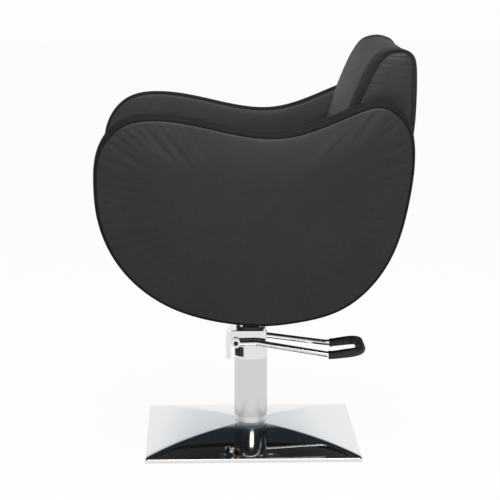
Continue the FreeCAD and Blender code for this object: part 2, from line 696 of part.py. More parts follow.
# ---------------------------------------------------------------- write every node
def all_nodes():
    nodes = {
        "base_plate": base_plate(), "base_feet": base_feet(), "base_cover": base_cover(),
        "fixed_tube": fixed_tube(), "tube_flange": tube_flange(), "flange_bolts": flange_bolts(),
        "bearing_cup": bearing_cup(), "thrust_ball": thrust_ball(), "guide_bush": guide_bush(),
        "ram_rod": ram_rod(), "piston": piston(), "piston_seal": piston_seal(),
        "outer_sleeve": outer_sleeve(), "sleeve_wiper": sleeve_wiper(),
        "reservoir_tube": reservoir_tube(), "cylinder_tube": cylinder_tube(), "rod_gland": rod_gland(),
        "pump_head": pump_head(), "shaft_bushes": shaft_bushes(), "pump_block": pump_block(),
        "front_guard": front_guard(), "guard_screws": guard_screws(),
        "seat_hub": seat_hub(), "hub_bolts": hub_bolts(), "mount_plate": mount_plate(),
        "lever_frame": lever_frame(), "pivot_shaft": pivot_shaft(), "shaft_screws": shaft_screws(),
        "cam": cam(), "pedal_rubber": pedal_rubber(),
        "plunger": plunger(), "plunger_spring": plunger_spring(),
        "mount_bolts": mount_bolts(), "mount_nuts": mount_nuts(), "seat_block": seat_block(),
        "seat_shell": seat_shell(), "under_cover": under_cover(), "back_cover": back_cover(),
        "seat_cushion": seat_cushion(), "back_cushion": back_cushion(),
    }
    for name, side in (("left", 1), ("right", -1)):
        nodes[name + "_back_side"] = back_side(side)
        nodes[name + "_side_rail"] = side_rail(side)
        nodes[name + "_arm_board"] = arm_board(side)
        nodes[name + "_arm_outer_pad"] = arm_outer_pad(side)
        nodes[name + "_arm_inner_pad"] = arm_inner_pad(side)
        nodes[name + "_arm_band"] = arm_band(side)
        nodes[name + "_arm_bolts"] = arm_bolts(side)
        nodes[name + "_arm_nuts"] = arm_nuts(side)
    return nodes


def main():
    os.makedirs("parts", exist_ok=True)
    for name, made in all_nodes().items():
        shape = Part.makeCompound(made) if isinstance(made, list) else made
        shape = Part.makeCompound(shape.Solids) if len(shape.Solids) > 1 else shape.Solids[0]
        shape.exportStep(os.path.join("parts", name + ".step"))
        sizes = shape.BoundBox
        print("%-22s solids %d valid %s  x %.1f..%.1f y %.1f..%.1f z %.1f..%.1f  vol %.0f" % (
            name, len(shape.Solids), shape.isValid(), sizes.XMin, sizes.XMax, sizes.YMin, sizes.YMax,
            sizes.ZMin, sizes.ZMax, shape.Volume))


main()
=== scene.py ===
"""A salon styling chair: a bucket seat in dark leatherette on a chromed hydraulic column, which stands on
a square foot."""

import bpy
import numpy as np
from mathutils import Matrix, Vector


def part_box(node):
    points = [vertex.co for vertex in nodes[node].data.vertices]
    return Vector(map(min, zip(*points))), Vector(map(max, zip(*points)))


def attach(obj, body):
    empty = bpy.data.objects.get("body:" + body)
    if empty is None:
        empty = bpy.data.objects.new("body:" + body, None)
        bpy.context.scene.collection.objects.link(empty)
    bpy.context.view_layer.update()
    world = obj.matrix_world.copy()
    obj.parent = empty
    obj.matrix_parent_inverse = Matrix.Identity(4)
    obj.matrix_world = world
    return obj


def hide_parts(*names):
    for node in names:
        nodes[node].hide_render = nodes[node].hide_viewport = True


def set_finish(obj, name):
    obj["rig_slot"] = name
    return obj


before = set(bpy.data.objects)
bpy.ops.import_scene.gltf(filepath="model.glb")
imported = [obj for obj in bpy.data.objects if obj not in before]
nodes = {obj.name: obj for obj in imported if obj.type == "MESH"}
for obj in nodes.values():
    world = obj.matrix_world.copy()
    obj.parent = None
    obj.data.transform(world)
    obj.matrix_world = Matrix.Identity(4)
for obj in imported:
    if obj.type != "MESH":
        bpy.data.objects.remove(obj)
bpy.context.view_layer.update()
scene = bpy.context.scene

# ---------------------------------------------------------------- camera
LENS = 139.9
CAMERA_AT = Vector((4.5645, -0.1326, 1.2633))
CAMERA_AIM = Vector((-0.9842, 0.0282, -0.1745))

camera = bpy.data.objects.new("camera", bpy.data.cameras.new("camera"))
camera.data.lens = LENS
camera.data.sensor_width = 36.0
camera.data.clip_end = 60.0
camera.location = CAMERA_AT
camera.rotation_euler = CAMERA_AIM.to_track_quat("-Z", "Y").to_euler()
scene.collection.objects.link(camera)
scene.camera = camera
scene.view_settings.view_transform = "Standard"


# ---------------------------------------------------------------- shader maths
class Wire:
    """One socket of a finish; arithmetic on it adds Math nodes, with numbers on either side."""

    def __init__(self, finish, socket):
        self.finish, self.socket = finish, socket

    def maths(self, operation, *others):
        made = self.finish.node("ShaderNodeMath", {"operation": operation},
                                **{str(i): v for i, v in enumerate((self,) + others)})
        return made.out()

    def flipped(self, operation, other):
        made = self.finish.node("ShaderNodeMath", {"operation": operation}, **{"0": other, "1": self})
        return made.out()

    def __add__(self, other):
        return self.maths("ADD", other)

    def __sub__(self, other):
        return self.maths("SUBTRACT", other)

    def __mul__(self, other):
        return self.maths("MULTIPLY", other)

    def __rsub__(self, other):
        return self.flipped("SUBTRACT", other)

    __radd__, __rmul__ = __add__, __mul__

    def eased(self, low, high):
        """0 below low and 1 above high, smooth between."""
        made = self.finish.node("ShaderNodeMapRange", {"interpolation_type": "SMOOTHSTEP"},
                                **{"Value": self, "From Min": low, "From Max": high})
        return made.out()


class Made:
    """A node that was just made, whose outputs are read as wires."""

    def __init__(self, finish, node):
        self.finish, self.raw = finish, node

    def out(self, name=0):
        return Wire(self.finish, self.raw.outputs[name])


class Finish:
    """A material or the world, built node by node."""

    def __init__(self, owner):
        self.owner = owner
        owner.use_nodes = True
        self.tree = owner.node_tree
        self.tree.nodes.clear()

    def node(self, kind, settings=None, **values):
        """A node of that kind: its settings first, then what each socket holds or is fed by."""
        raw = self.tree.nodes.new(kind)
        for key, value in (settings or {}).items():
            setattr(raw, key, value)
        for key, value in values.items():
            socket = raw.inputs[int(key) if key.isdigit() else key]
            if isinstance(value, Wire):
                self.tree.links.new(value.socket, socket)
            else:
                socket.default_value = value
        return Made(self, raw)

    def place(self, source="Object"):
        return self.node("ShaderNodeTexCoord").out(source)

    def noise(self, at, scale, detail=2.0, roughness=0.5, spread="Fac"):
        return self.node("ShaderNodeTexNoise", Vector=at, Scale=scale, Detail=detail,
                         Roughness=roughness).out(spread)

    def cells(self, at, scale, feature):
        return self.node("ShaderNodeTexVoronoi", {"feature": feature}, Vector=at, Scale=scale,
                         Randomness=1.0).out("Distance")

    def mixed(self, share, low, high):
        """A colour between low and high."""
        made = self.node("ShaderNodeMix", {"data_type": "RGBA"}, **{"0": share, "6": low, "7": high})
        return made.out(2)

    def bumped(self, height, distance, strength):
        return self.node("ShaderNodeBump", Height=height, Distance=distance, Strength=strength).out()

    def surface(self, **values):
        """A Principled surface; the keys are its sockets, with _ for a space."""
        named = {key.replace("_", " "): value for key, value in values.items()}
        made = self.node("ShaderNodeBsdfPrincipled", **named)
        self.node("ShaderNodeOutputMaterial", Surface=made.out())
        return self.owner


def new_finish(name):
    return Finish(bpy.data.materials.new(name))


def grey(level, warm=0.0):
    """A near-neutral colour; warm above 0 leans to red, below 0 to blue."""
    return (level * (1 + warm), level, level * (1 - warm), 1.0)


# ---------------------------------------------------------------- finishes
GRAIN = 620.0           # leather cells to a metre
GRAIN_DEPTH = 0.00016   # metres
GRAIN_WARP = 0.0012     # how far the cells are pushed out of line, in metres


def leatherette(name, shade, roughness, specular):
    """Embossed vinyl: fine pebbled cells with creases between them, over slow changes of tone, with painted
    shade darkening the creases.
    """
    f = new_finish(name)
    at = f.place()
    drift = f.noise(at, 300.0, 2.0, spread="Color")
    push = f.node("ShaderNodeVectorMath", {"operation": "SCALE"}, **{"0": drift, "Scale": GRAIN_WARP}).out()
    warped = f.node("ShaderNodeVectorMath", {"operation": "ADD"}, **{"0": at, "1": push}).out()
    pebbles = f.cells(warped, GRAIN, "SMOOTH_F1")
    creases = f.cells(warped, GRAIN * 0.8, "DISTANCE_TO_EDGE").eased(0.0, 0.22)
    pores = f.noise(at, 2600.0, 2.0)
    slow = f.noise(at, 7.0, 3.0)
    patches = f.noise(at, 42.0, 3.0)
    height = creases * 0.6 + (1.0 - pebbles) * 0.5 + pores * 0.25
    tone = f.mixed((slow * 0.7 + patches * 0.3).eased(0.3, 0.7), grey(shade * 0.88, -0.012),
                   grey(shade * 1.12, 0.004))
    # painted shade: the colour darkens to 0.62 of the tone in the creases between the cells
    tone = f.mixed(creases, grey(shade * 0.62), tone)
    gloss = roughness + (patches - 0.5) * 0.10 + (1.0 - creases) * 0.12
    return f.surface(Base_Color=tone, Roughness=gloss, Specular_IOR_Level=specular,
                     Normal=f.bumped(height, GRAIN_DEPTH, 0.55))


def chrome(name, shade, roughness):
    """Polished plating: almost even, with faint wiping marks in its gloss."""
    f = new_finish(name)
    at = f.place()
    wiped = f.noise(f.node("ShaderNodeMapping", Vector=at, Scale=(3.0, 3.0, 22.0)).out(), 6.0, 4.0, 0.6)
    specks = f.noise(at, 900.0, 1.0)
    gloss = roughness + wiped * 0.02 + specks * 0.01
    tone = f.mixed(wiped, grey(shade * 0.96), grey(shade, -0.006))
    return f.surface(Base_Color=tone, Metallic=1.0, Roughness=gloss,
                     Normal=f.bumped(wiped, 0.0001, 0.08))


def brushed_steel(name, shade, roughness):
    """Satin steel: fine lines drawn along the tube, which spread its gloss."""
    f = new_finish(name)
    drawn = f.node("ShaderNodeMapping", Vector=f.place(), Scale=(260.0, 260.0, 2.0)).out()
    lines = f.noise(drawn, 1.0, 3.0, 0.7)
    blotch = f.noise(f.place(), 30.0, 2.0)
    return f.surface(Base_Color=f.mixed(blotch, grey(shade * 0.94, 0.01), grey(shade, 0.012)),
                     Metallic=1.0, Roughness=roughness + (lines - 0.5) * 0.10 + (blotch - 0.5) * 0.04,
                     Normal=f.bumped(lines, 0.00004, 0.20))


def painted_steel(name, shade, roughness):
    """Black powder coat: a soft orange-peel skin."""
    f = new_finish(name)
    at = f.place()
    peel = f.noise(at, 420.0, 2.0)
    dust = f.noise(at, 25.0, 4.0)
    return f.surface(Base_Color=f.mixed(dust, grey(shade * 0.8), grey(shade * 1.25)),
                     Roughness=roughness + (dust - 0.5) * 0.15, Normal=f.bumped(peel, 0.0003, 0.35))


def moulded(name, shade, roughness, tint=0.0):
    """Moulded rubber or plastic with a fine spark-eroded skin."""
    f = new_finish(name)
    at = f.place()
    skin = f.noise(at, 1500.0, 2.0)
    bloom = f.noise(at, 35.0, 3.0)
    return f.surface(Base_Color=f.mixed(bloom, grey(shade * 0.85, tint), grey(shade * 1.2, tint)),
                     Roughness=roughness + (bloom - 0.5) * 0.12, Normal=f.bumped(skin, 0.00015, 0.4))


def timber(name, pale, dark):
    """Wood: rings stretched along the grain, with short pores."""
    f = new_finish(name)
    at = f.place()
    long_at = f.node("ShaderNodeMapping", Vector=at, Scale=(60.0, 6.0, 60.0)).out()
    rings = f.node("ShaderNodeTexWave", {"wave_type": "BANDS"}, Vector=long_at, Scale=0.6,
                   Distortion=5.0, Detail=3.0).out("Fac")
    pores = f.noise(long_at, 8.0, 3.0)
    tone = f.mixed(rings * 0.7 + pores * 0.3, pale, dark)
    return f.surface(Base_Color=tone, Roughness=0.6 + pores * 0.15,
                     Normal=f.bumped(rings * 0.5 + pores, 0.0003, 0.3))


def plated(name, colour, roughness):
    """Plain machined or plated metal with faint turning marks."""
    f = new_finish(name)
    at = f.place()
    marks = f.noise(f.node("ShaderNodeMapping", Vector=at, Scale=(40.0, 40.0, 700.0)).out(), 1.0, 2.0)
    dull = tuple(c * 0.8 for c in colour[:3]) + (1.0,)
    return f.surface(Base_Color=f.mixed(marks, dull, colour), Metallic=1.0,
                     Roughness=roughness + marks * 0.12, Normal=f.bumped(marks, 0.00008, 0.3))


FINISHES = {
    "leatherette": leatherette("leatherette", 0.027, 0.52, 0.20),
    "padded_leatherette": leatherette("padded_leatherette", 0.029, 0.52, 0.20),
    "leatherette_band": leatherette("leatherette_band", 0.012, 0.70, 0.10),
    "chrome": chrome("chrome", 0.78, 0.03),
    "satin_steel": brushed_steel("satin_steel", 0.66, 0.13),
    "black_steel": painted_steel("black_steel", 0.012, 0.38),
    "plain_steel": plated("plain_steel", grey(0.55, 0.01), 0.30),
    "zinc_steel": plated("zinc_steel", grey(0.66, -0.02), 0.34),
    "bronze": plated("bronze", (0.55, 0.36, 0.16, 1.0), 0.34),
    "nylon": moulded("nylon", 0.62, 0.45, 0.04),
    "rubber": moulded("rubber", 0.012, 0.55),
    "seal_rubber": moulded("seal_rubber", 0.014, 0.42),
    "plywood": timber("plywood", (0.52, 0.36, 0.20, 1.0), (0.36, 0.22, 0.11, 1.0)),
    "hardwood": timber("hardwood", (0.040, 0.033, 0.028, 1.0), (0.022, 0.019, 0.017, 1.0)),
    # painted light: a lighter copy of padded_leatherette, so that the back's side panels look more brightly
    # lit
    "painted_light_side_leatherette": leatherette("painted_light_side_leatherette", 0.040, 0.50, 0.20),
    # painted light: a lighter, glossier copy of leatherette_band, so that the back's corner bands look more
    # brightly lit
    "painted_light_corner_leatherette": leatherette("painted_light_corner_leatherette", 0.026, 0.62, 0.14),
}
REPAINTED = {"sleeve_wiper": "seal_rubber", "guide_bush": "seal_rubber"}  # seen through the column's gap
for part in nodes.values():
    for place in part.material_slots:
        name = place.material.name.split(".")[0] if place.material else ""
        name = REPAINTED.get(part.name, name)
        if name in FINISHES:
            place.material = FINISHES[name]


# ---------------------------------------------------------------- meshes
def grid_quads(rows, columns, ring):
    """Corner numbers of the quads of a grid; with ring, the last column joins the first."""
    r, c = np.meshgrid(np.arange(rows - 1), np.arange(columns if ring else columns - 1), indexing="ij")
    after = (c + 1) % columns
    here, above = r * columns, (r + 1) * columns
    return np.stack([here + c, here + after, above + after, above + c], -1).reshape(-1, 4)


def fan(ring, pole):
    """Triangles from a closed ring of corner numbers to one pole."""
    return np.stack([ring, np.roll(ring, -1), np.full(len(ring), pole)], -1)


def piece(name, points, quads, finish, body="seat", tris=None, flip=False):
    """A mesh object from whole arrays, in its place, with one finish, riding on a body."""
    mesh = bpy.data.meshes.new(name)
    tris = np.zeros((0, 3), int) if tris is None else np.asarray(tris)
    if flip:
        quads, tris = quads[:, ::-1], tris[:, ::-1]
    corners = np.concatenate([quads.ravel(), tris.ravel()]).astype(np.int32)
    starts = np.concatenate([np.arange(len(quads)) * 4, len(quads) * 4 + np.arange(len(tris)) * 3])
    mesh.vertices.add(len(points))
    mesh.vertices.foreach_set("co", np.asarray(points, np.float32).ravel())
    mesh.loops.add(len(corners))
    mesh.loops.foreach_set("vertex_index", corners)
    mesh.polygons.add(len(starts))
    mesh.polygons.foreach_set("loop_start", starts.astype(np.int32))
    mesh.update(calc_edges=True)
    mesh.validate()
    mesh.shade_smooth()
    mesh.materials.append(FINISHES[finish])
    made = bpy.data.objects.new(name, mesh)
    scene.collection.objects.link(made)
    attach(made, body)
    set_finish(made, finish)
    return made


def read_points(thing):
    flat = np.empty(len(thing.data.vertices) * 3, np.float32)
    thing.data.vertices.foreach_get("co", flat)
    return flat.reshape(-1, 3).astype(float)


def write_points(thing, points):
    thing.data.vertices.foreach_set("co", np.asarray(points, np.float32).ravel())
    thing.data.update()


def smooth_step(value, low, high):
    share = np.clip((value - low) / (high - low), 0.0, 1.0)
    return share * share * (3 - 2 * share)


def waves(along, length, seed, shortest, longest, count=14):
    """Sum of sines along a closed line, of even strength, between two wavelengths, from a seed."""
    draw = np.random.default_rng(seed)
    turns = np.round(length / draw.uniform(shortest, longest, count))
    phases = draw.uniform(0, 2 * np.pi, count)
    total = np.sin(2 * np.pi * turns[:, None] * along[None, :] + phases[:, None]).sum(0)
    return total / np.sqrt(count)


def lengths(line):
    """How far each point lies along an open line from its first."""
    return np.concatenate([[0], np.cumsum(np.linalg.norm(np.diff(line, axis=0), axis=1))])


def cubic(across):
    """The four weights of a cubic curve at shares from 0 to 1."""
    rest = 1 - across
    return rest ** 3, 3 * across * rest ** 2, 3 * across ** 2 * rest, across ** 3


def spread_across(half, rows, crowding):
    """Places from -half to half, closer together towards both ends: half * (1 - (1 - |s|) ** crowding)."""
    share = np.linspace(-1, 1, rows)
    return half * np.sign(share) * (1 - (1 - np.abs(share)) ** crowding)


def carried(line, normal, x, lift):
    """Points of a profile carried across: at each x, the profile plus lift times its normal."""
    flat = line[:, None, :] + lift[..., None] * normal[:, None, :]
    return np.concatenate([np.broadcast_to(x, lift.shape)[..., None], flat], -1).reshape(-1, 3)


def held_within(edge, ends, reach):
    """How firmly a panel is held: exp(-(d / reach) ** 2) at distance d from its nearest seam."""
    return np.exp(-(np.minimum(edge, ends) / reach) ** 2).ravel()


def spline(points, count):
    """Points spread evenly along a Catmull-Rom curve through the given ones (open, chord-weighted)."""
    p = np.asarray(points, float)
    p = np.concatenate([[2 * p[0] - p[1]], p, [2 * p[-1] - p[-2]]])
    knots = np.concatenate([[0], np.cumsum(np.linalg.norm(np.diff(p, axis=0), axis=1) ** 0.5)])
    runs = []
    for i in range(1, len(p) - 2):
        t = np.linspace(knots[i], knots[i + 1], 60, endpoint=i == len(p) - 3)[:, None]
        k = knots[i - 1:i + 3]
        a1 = (k[1] - t) / (k[1] - k[0]) * p[i - 1] + (t - k[0]) / (k[1] - k[0]) * p[i]
        a2 = (k[2] - t) / (k[2] - k[1]) * p[i] + (t - k[1]) / (k[2] - k[1]) * p[i + 1]
        a3 = (k[3] - t) / (k[3] - k[2]) * p[i + 1] + (t - k[2]) / (k[3] - k[2]) * p[i + 2]
        b1 = (k[2] - t) / (k[2] - k[0]) * a1 + (t - k[0]) / (k[2] - k[0]) * a2
        b2 = (k[3] - t) / (k[3] - k[1]) * a2 + (t - k[1]) / (k[3] - k[1]) * a3
        runs.append((k[2] - t) / (k[2] - k[1]) * b1 + (t - k[1]) / (k[2] - k[1]) * b2)
    return evenly(np.concatenate(runs), count)


def evenly(line, count):
    """The same open line with its points spread evenly by length."""
    gone = lengths(line)
    at = np.linspace(0, gone[-1], count)
    return np.stack([np.interp(at, gone, line[:, i]) for i in range(line.shape[1])], -1)


def outward(line):
    """Unit normals of an open line in its plane, on the left of the way it runs."""
    way = np.gradient(line, axis=0)
    way /= np.linalg.norm(way, axis=1)[:, None]
    return np.stack([-way[:, 1], way[:, 0]], -1)


CLOTH_FRAMES = 20
CLOTH_STIFFNESS = 30.0


def settle(thing, held, pressure, cap):
    """Puffs a piece as filled fabric: cloth under pressure with its seams held, and each move kept under
    a cap by cap * tanh(move / cap)."""
    before = read_points(thing)
    group = thing.vertex_groups.new(name="held")
    for index in np.flatnonzero(held > 0.02):
        group.add([int(index)], float(min(1.0, held[index])), "REPLACE")
    made = thing.modifiers.new("cloth", "CLOTH")
    cloth = made.settings
    cloth.quality = 5
    cloth.mass = 0.35
    cloth.tension_stiffness = cloth.compression_stiffness = CLOTH_STIFFNESS
    cloth.shear_stiffness = CLOTH_STIFFNESS * 0.4
    cloth.bending_stiffness = 2.0
    cloth.use_pressure = True
    cloth.uniform_pressure_force = pressure
    cloth.vertex_group_mass = "held"
    cloth.effector_weights.gravity = 0.0
    made.collision_settings.use_collision = False
    made.point_cache.frame_start = 1
    made.point_cache.frame_end = CLOTH_FRAMES
    for number in range(1, CLOTH_FRAMES + 1):
        scene.frame_set(number)
    grown = thing.evaluated_get(bpy.context.evaluated_depsgraph_get())
    flat = np.empty(len(thing.data.vertices) * 3, np.float32)
    grown.data.vertices.foreach_get("co", flat)
    move = flat.reshape(-1, 3).astype(float) - before
    far = np.linalg.norm(move, axis=1)[:, None] + 1e-9
    thing.modifiers.remove(made)
    thing.vertex_groups.clear()
    write_points(thing, before + move / far * cap * np.tanh(far / cap))
    scene.frame_set(1)


# ---------------------------------------------------------------- arms
COLUMNS = 480       # corners round an arm
HARMONICS = 48      # how finely the outline follows the pad's edge
ARM_CENTRE = np.array([-0.01, 0.575])


def pad_outline(node, plane):
    """Closed line of a pad's flat face as complex y + iz: its corners in that plane sorted round the
    middle, spread evenly along the line, and kept up to a set harmonic."""
    points = read_points(nodes[node])
    points = points[np.abs(points[:, 0] - plane) < 1e-4][:, 1:]
    turn = np.arctan2(points[:, 1] - ARM_CENTRE[1], points[:, 0] - ARM_CENTRE[0])
    order = np.argsort(turn)
    line = points[order]
    line = line[np.concatenate([[True], np.abs(np.diff(turn[order])) > 1e-5])]
    line = evenly(np.concatenate([line, line[:1]]), COLUMNS * 2 + 1)[:-1]
    wave = np.fft.fft(line[:, 0] + 1j * line[:, 1])
    number = np.fft.fftfreq(len(wave), 1 / len(wave))
    wave[np.abs(number) > HARMONICS] = 0
    closed = np.fft.ifft(wave)[::2]
    way = np.fft.ifft(wave * 1j * number)[::2]
    return closed, -1j * way / np.abs(way)


outer_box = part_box("left_arm_outer_pad")
OUTLINE, AWAY = pad_outline("left_arm_outer_pad", outer_box[0].x)
CREST = OUTLINE + 0.012 * AWAY  # the band's crest stands this far out from the pad's edge
UP = AWAY.imag                  # 1 where the arm's edge looks straight up
AROUND = np.arange(COLUMNS) / COLUMNS
GIRTH = np.abs(np.diff(CREST, append=CREST[:1])).sum()


def seam_drop(outer):
    """How far a seam lies inside the crest line: more along the top of the outer face."""
    if outer:
        return 0.0095 + 0.0055 * smooth_step(UP, 0.1, 0.85)
    return np.full(COLUMNS, 0.0065)


ROLL = 0.018            # how fast a panel rises from its seam
PANEL_RISE = 0.0100
PANEL_DOME = 0.009      # how much further the outer face stands out in the middle
SEAM_X_OUTER = 0.2925
SEAM_X_INNER = 0.2385
SEAM_TUCK = 0.0004      # the band starts this far behind a panel's seam
BAND_SHOULDER_X = 0.246
RING_DEPTHS = np.array([0.0, 0.0006, 0.0016, 0.003, 0.005, 0.0075, 0.0105, 0.014, 0.018, 0.023, 0.029,
                        0.036, 0.044, 0.053, 0.063])  # fine by the seam, wide inside
INNER_RINGS = 26
OUTER_PUFF = (4.0, 0.004)    # pressure, and the furthest that the cloth may move
INNER_PUFF = (1.0, 0.0012)


def arm_panel(name, outer, seed):
    """Crowned panel. Rings run straight to the centre, first by set distances from the seam and then by
    shares. Its rise is PANEL_RISE * (1 - exp(-d / ROLL)) at distance d from the seam, over a small step
    beside the seam, with puckers there that fade inside."""
    seam = CREST - seam_drop(outer) * AWAY
    rings = RING_DEPTHS
    middle = ARM_CENTRE[0] + 1j * ARM_CENTRE[1]
    outwards = (seam - middle) / np.abs(seam - middle)
    facing = np.maximum((AWAY * np.conj(outwards)).real, 0.35)
    lines = [seam - d / facing * outwards for d in rings]
    last = lines[-1]
    shares = np.linspace(1.0, 0.0, INNER_RINGS + 2)[1:-1]
    deep = np.abs(last - middle)
    lines += [middle + (last - middle) * s for s in shares]
    depth = [np.full(COLUMNS, d) for d in rings] + [rings[-1] + deep * (1 - s) for s in shares]
    flat = np.concatenate(lines)
    near = np.abs(flat[:, None] - seam[None, ::2]).min(1)
    depth = np.concatenate(depth)
    depth = depth + (np.minimum(near, depth) - depth) * smooth_step(depth, 0.006, 0.020)
    radial = np.abs(flat - middle) / np.tile(np.abs(seam - middle), len(lines))
    pucker = waves(AROUND, GIRTH, seed, 0.009, 0.034) * (0.6 + 0.4 * waves(AROUND, GIRTH, seed + 1, 0.2, 0.6))
    pucker = np.tile(pucker, len(lines)) * np.exp(-depth / 0.010) * smooth_step(depth, 0.0, 0.004)
    rise = PANEL_RISE * (1 - np.exp(-depth / ROLL)) + 0.0016 * smooth_step(depth, 0.0, 0.003)
    if outer:
        rise += PANEL_DOME * (1 - radial ** 2)
    rise += 0.00045 * pucker
    sign = 1.0 if outer else -1.0
    x = (SEAM_X_OUTER if outer else SEAM_X_INNER) + sign * rise
    points = np.stack([x, flat.real, flat.imag], -1)
    pole = np.array([[x[-COLUMNS:].mean(), middle.real, middle.imag]])
    points = np.concatenate([points, pole])
    quads = grid_quads(len(lines), COLUMNS, True)
    tris = fan(np.arange(COLUMNS) + (len(lines) - 1) * COLUMNS, len(points) - 1)
    made = piece(name, points, quads, "padded_leatherette", tris=tris, flip=not outer)
    held = np.concatenate([np.exp(-(depth / 0.004) ** 2), [0.0]])
    settle(made, held, *(OUTER_PUFF if outer else INNER_PUFF))
    return made


def arm_band(name):
    """Edge band: a cubic curve from the outer seam over the crest to the inner seam, carried round the
    outline, with puckers along both seams."""
    across = np.linspace(0, 1, 29)[:, None]
    top = smooth_step(UP, 0.1, 0.85)[None, :]
    drop_outer, drop_inner = seam_drop(True)[None, :], seam_drop(False)[None, :]
    a, b, c, d = cubic(across)
    x = (a * (SEAM_X_OUTER - SEAM_TUCK) + b * (SEAM_X_OUTER + 0.003) + c * BAND_SHOULDER_X
         + d * (SEAM_X_INNER + SEAM_TUCK))
    lift = a * -drop_outer + b * (0.0012 + 0.001 * top) + c * (0.0022 + 0.0015 * top) + d * -drop_inner
    edge = np.minimum(across, 1 - across)
    pucker = waves(AROUND, GIRTH, 71, 0.008, 0.03)[None, :]
    pucker = pucker * np.exp(-edge / 0.12) * smooth_step(edge, 0, 0.06)
    lift = lift + 0.0004 * pucker
    flat = CREST[None, :] + lift * AWAY[None, :]
    x = np.broadcast_to(x, flat.shape)
    points = np.stack([x, flat.real, flat.imag], -1).reshape(-1, 3)
    return piece(name, points, grid_quads(len(across), COLUMNS, True), "leatherette_band", flip=True)


def mirror_of(thing, name):
    """The same piece for the other side, with its faces turned to point outwards again."""
    points = read_points(thing) * np.array([-1, 1, 1])
    mesh = thing.data.copy()
    mesh.name = name
    made = bpy.data.objects.new(name, mesh)
    scene.collection.objects.link(made)
    write_points(made, points)
    mesh.flip_normals()
    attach(made, "seat")
    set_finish(made, thing["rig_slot"])
    return made


left_outer = arm_panel("left_arm_outer_panel", True, 11)
left_inner = arm_panel("left_arm_inner_panel", False, 23)
left_band = arm_band("left_arm_edge_band")
for side in ("left", "right"):
    trio = (left_outer, left_band, left_inner)
    if side == "right":
        trio = tuple(mirror_of(t, t.name.replace("left", "right")) for t in trio)
    for thing, node in zip(trio, ("outer_pad", "band", "inner_pad")):
        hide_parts(side + "_arm_" + node)

# ---------------------------------------------------------------- back
BACK_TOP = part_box("back_cushion")[1].z
BACK_HALF = 0.230
PANEL_HALF = 0.209      # half width of the front and rear panels, between the corner bands
BACK_FOOT = 0.50        # height where the side panel starts
PROFILE_COUNT = 420
FRONT_LINE = [(0.118, -0.451), (0.165, -0.291), (0.217, -0.130), (0.258, -0.038), (0.282, -0.0095),
              (0.316, -0.001), (0.342, -0.0075), (0.3555, -0.0215), (0.3605, -0.038)]
REAR_LINE = [(0.3605, 0.80), (0.352, 0.722), (0.336, 0.616), (0.294, 0.484)]
BACK_PROFILE = spline([(y, BACK_TOP + z) for y, z in FRONT_LINE] + REAR_LINE, PROFILE_COUNT)
BACK_OUT = outward(BACK_PROFILE)
GONE = lengths(BACK_PROFILE)
REAR_SEAM = int(np.argmin(np.abs(BACK_PROFILE[:, 1] - (BACK_TOP - 0.030)) + (BACK_PROFILE[:, 0] < 0.34)))
SIDE_SEAM = spline([(0.138, 0.500), (0.185, 0.660), (0.237, 0.822), (0.247, 0.844), (0.257, 0.866),
                    (0.268, 0.889), (0.280, 0.910), (0.292, 0.925), (0.306, 0.936), (0.325, 0.941),
                    (0.341, 0.9385), (0.350, 0.930), (0.3535, 0.906), (0.3535, 0.870), (0.352, 0.800),
                    (0.343, 0.722), (0.328, 0.616), (0.288, 0.486)], PROFILE_COUNT)


def side_inset():
    """How far the side panel's seam lies inside the profile: the least distance to the seam's line,
    evened over a short run."""
    least = np.linalg.norm(BACK_PROFILE[:, None] - SIDE_SEAM[None], axis=2).min(1)
    return np.convolve(np.pad(least, 6, mode="edge"), np.ones(13) / 13, mode="valid")


def back_panel(name, first, last, crown, finish, seed):
    """Wide panel over the profile: it swells by crown * (1 - exp(-d / 12 mm)) away from its side seams
    and by a slow dome across, with puckers along them. Over the top its middle falls a little, less so
    at the rear corner, where the plywood lies close under it."""
    rows = 81
    line, normal = BACK_PROFILE[first:last], BACK_OUT[first:last]
    x = spread_across(PANEL_HALF, rows, 1.35)
    edge = (PANEL_HALF - np.abs(x))[None, :]
    gone = GONE[first:last]
    ends = np.minimum(gone - gone[0], gone[-1] - gone)[:, None]
    front = 1 - 0.9 * smooth_step(line[:, :1], 0.24, 0.31) * smooth_step(line[:, 1:], 0.86, 0.90)
    swell = crown * (1 - np.exp(-edge / 0.012)) * (1 - np.exp(-ends / 0.012)) * front
    dome = 0.006 * (1 - (x / PANEL_HALF)[None, :] ** 2) * smooth_step(ends, 0.0, 0.09) * front
    along = gone / gone[-1]
    pucker = waves(along, gone[-1], seed, 0.010, 0.035)[:, None]
    pucker = pucker * np.exp(-edge / 0.011) * smooth_step(edge, 0, 0.004)
    fall = 0.0035 * smooth_step(line[:, :1], 0.24, 0.30) + 0.006 * smooth_step(line[:, :1], 0.322, 0.348)
    fall = fall * (1 - 0.85 * smooth_step(line[:, :1], 0.334, 0.350))
    fall = fall * smooth_step(line[:, 1:], 0.88, 0.93) * smooth_step(edge, 0.0, 0.035)
    lift = swell + dome - fall + 0.0005 * pucker - 0.0014 * np.exp(-np.minimum(edge, ends) / 0.0012)
    made = piece(name, carried(line, normal, x, lift), grid_quads(len(line), rows, False), finish)
    settle(made, held_within(edge, ends, 0.004), 3.0, 0.005)
    return made


front_panel = back_panel("back_front_panel", 0, REAR_SEAM + 1, 0.0032, "padded_leatherette", 31)
rear_panel = back_panel("back_rear_panel", REAR_SEAM, len(BACK_PROFILE), 0.003, "leatherette", 37)
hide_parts("back_cushion")
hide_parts("back_cover")


